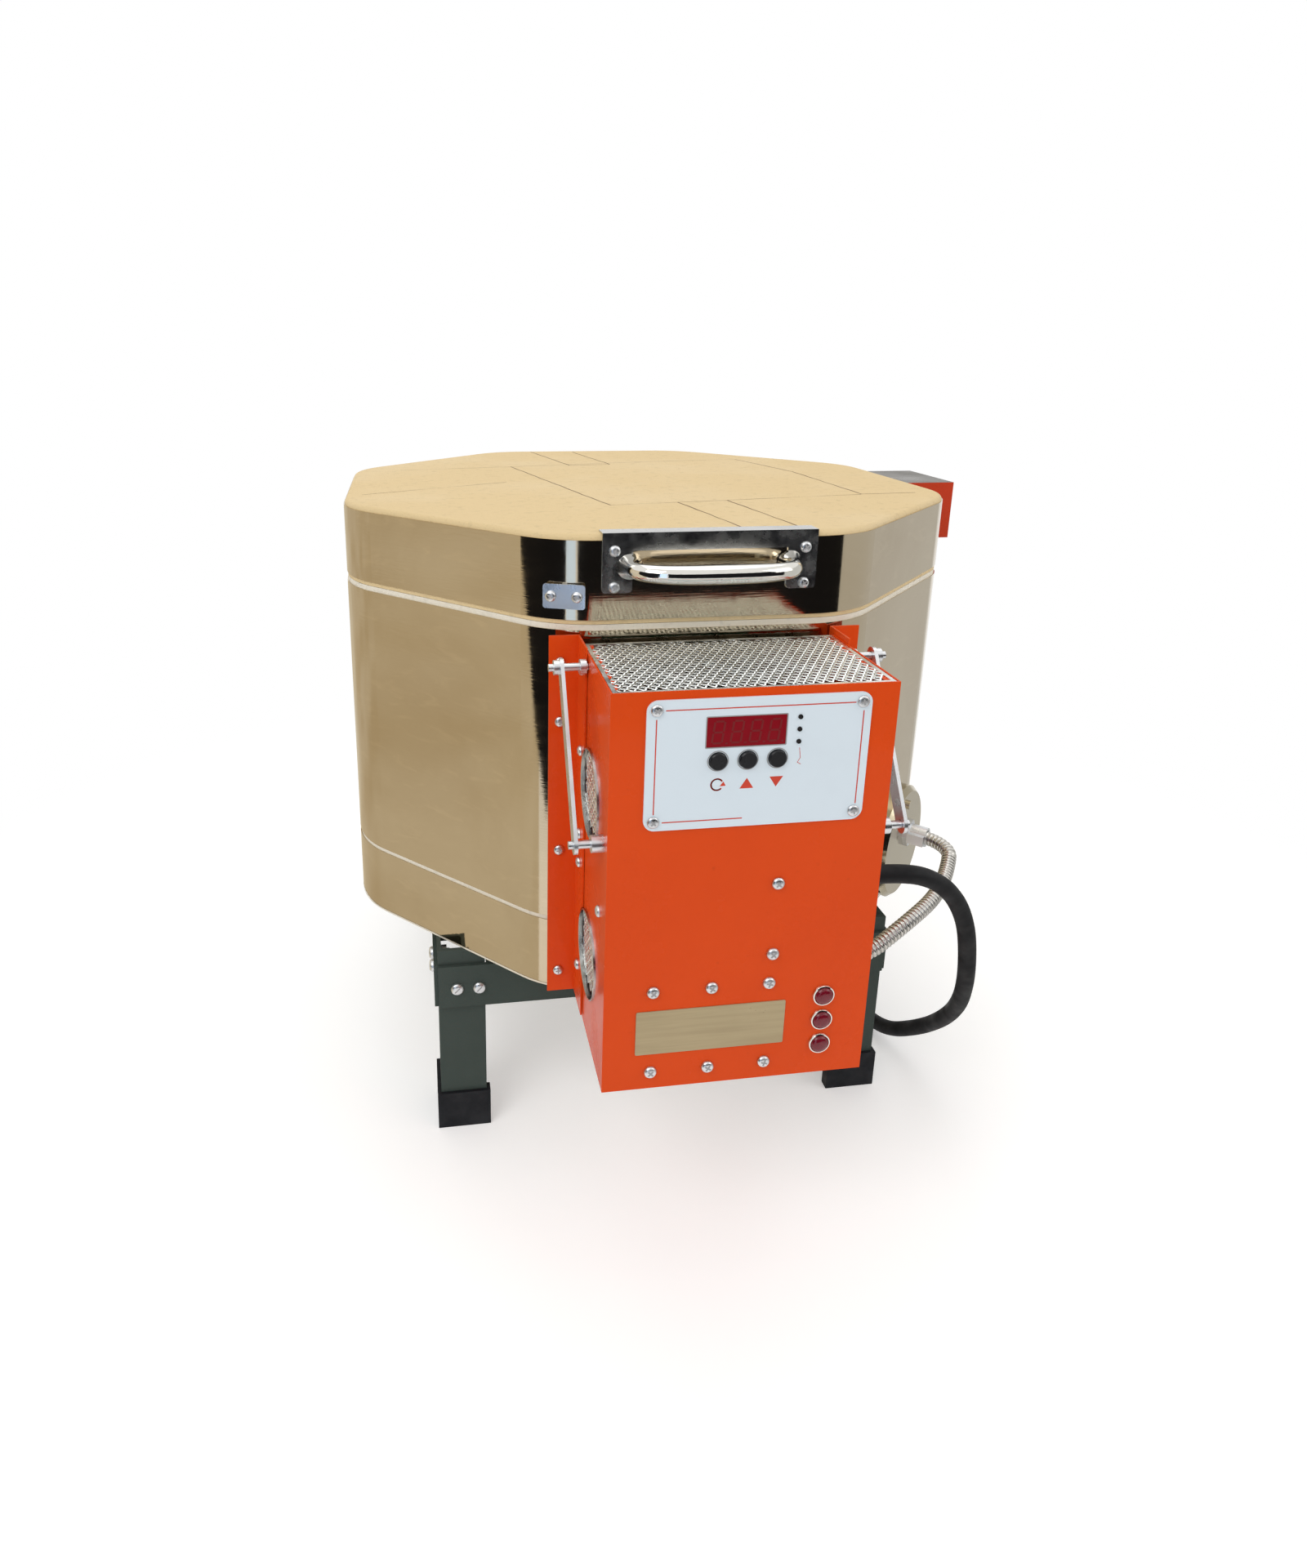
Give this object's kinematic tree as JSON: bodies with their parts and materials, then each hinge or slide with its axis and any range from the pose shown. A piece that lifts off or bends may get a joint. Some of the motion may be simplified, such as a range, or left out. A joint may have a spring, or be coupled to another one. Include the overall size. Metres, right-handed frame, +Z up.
{
  "type": "bead annealing kiln",
  "caption": "Octagonal brick-lined bead annealing kiln with a hinged lid, a front control box, an angle-iron stand and a power cord.",
  "frame": {"origin": "on the floor, under the middle of the kiln's footprint, cord aside; the chamber's axis stands at x -0.0255, y 0.0426", "axes": "+X to the right, +Y from the control box to the hinge, +Z up"},
  "size_m": [0.559, 0.7922, 0.5205],
  "materials": {
    "firebrick": "matte, porous insulating firebrick",
    "stainless_skin": "polished stainless sheet",
    "stand_paint": "satin dark grey-green enamel",
    "box_paint": "gloss orange-red enamel",
    "face_paint": "white printed aluminium plate",
    "zinc_hardware": "bright zinc plate",
    "chrome_parts": "polished chrome",
    "galvanised_mesh": "galvanised expanded metal",
    "heating_wire": "oxidised resistance wire",
    "ceramic": "unglazed ceramic tube",
    "foot_rubber": "black moulded rubber",
    "cord_rubber": "black rubber cord",
    "display_tint": "dark red display window",
    "button_plastic": "black button caps",
    "led_plastic": "dark unlit indicator lens",
    "lens_plastic": "dark red lamp lens",
    "board_laminate": "green circuit board",
    "black_plastic": "black moulded plastic",
    "core_iron": "laminated transformer core"
  },
  "bodies": {
    "kiln": {"box_screws": "zinc_hardware", "brace_studs": "zinc_hardware", "conduit_connectors": "zinc_hardware", "control_box": "box_paint", "controller_board": "board_laminate", "controller_plate": "face_paint", "cord_coil": "cord_rubber", "cord_gland": "cord_rubber", "display_window": "display_tint", "element_bushings": "ceramic", "element_tails": "heating_wire", "flex_conduit": "zinc_hardware", "floor_band": "stainless_skin", "floor_slab": "firebrick", "hinge_base": "zinc_hardware", "hinge_pin": "zinc_hardware", "junction_cover": "stainless_skin", "leg_front_left": "stand_paint", "leg_front_right": "stand_paint", "leg_rear_left": "stand_paint", "leg_rear_right": "stand_paint", "mounting_angle_left": "box_paint", "mounting_angle_right": "box_paint", "pilot_bezels": "chrome_parts", "pilot_lenses": "lens_plastic", "power_cord": "cord_rubber", "power_plug": "cord_rubber", "power_relay": "black_plastic", "rail_front": "stand_paint", "rail_left": "stand_paint", "rail_rear": "stand_paint", "rail_right": "stand_paint", "rear_baffle": "zinc_hardware", "rubber_feet": "foot_rubber", "side_braces": "zinc_hardware", "side_vents": "galvanised_mesh", "stand_bolts": "zinc_hardware", "status_leds": "led_plastic", "terminal_strip": "black_plastic", "thermocouple": "ceramic", "top_mesh_panel": "galvanised_mesh", "transformer": "core_iron", "wall_bricks_lower": "firebrick", "wall_bricks_upper": "firebrick", "wall_elements": "heating_wire", "wall_jacket": "stainless_skin"},
    "lid": {"lid_slab": "firebrick", "lid_band": "stainless_skin", "lid_element": "heating_wire", "lid_element_tails": "heating_wire", "lid_terminal_box": "box_paint", "lid_terminal_cover": "box_paint", "handle_bracket": "chrome_parts", "lid_handle": "chrome_parts", "lid_clamp": "zinc_hardware", "lid_screws": "zinc_hardware", "hinge_leaf": "zinc_hardware"},
    "button_program": {"button_program": "button_plastic"},
    "button_up": {"button_up": "button_plastic"},
    "button_down": {"button_down": "button_plastic"}
  },
  "joints": [
    {"name": "lid_hinge", "type": "hinge", "parent": "kiln", "child": "lid", "pos_m": [-0.0255, 0.3146, 0.457], "axis": [-1, 0, 0], "range_deg": [0, 100]},
    {"name": "press_program", "type": "slide", "parent": "kiln", "child": "button_program", "axis": [0, 1, 0], "range_m": [0, 0.001], "stiffness_N_per_m": 400},
    {"name": "press_up", "type": "slide", "parent": "kiln", "child": "button_up", "axis": [0, 1, 0], "range_m": [0, 0.001], "stiffness_N_per_m": 400},
    {"name": "press_down", "type": "slide", "parent": "kiln", "child": "button_down", "axis": [0, 1, 0], "range_m": [0, 0.001], "stiffness_N_per_m": 400}
  ]
}
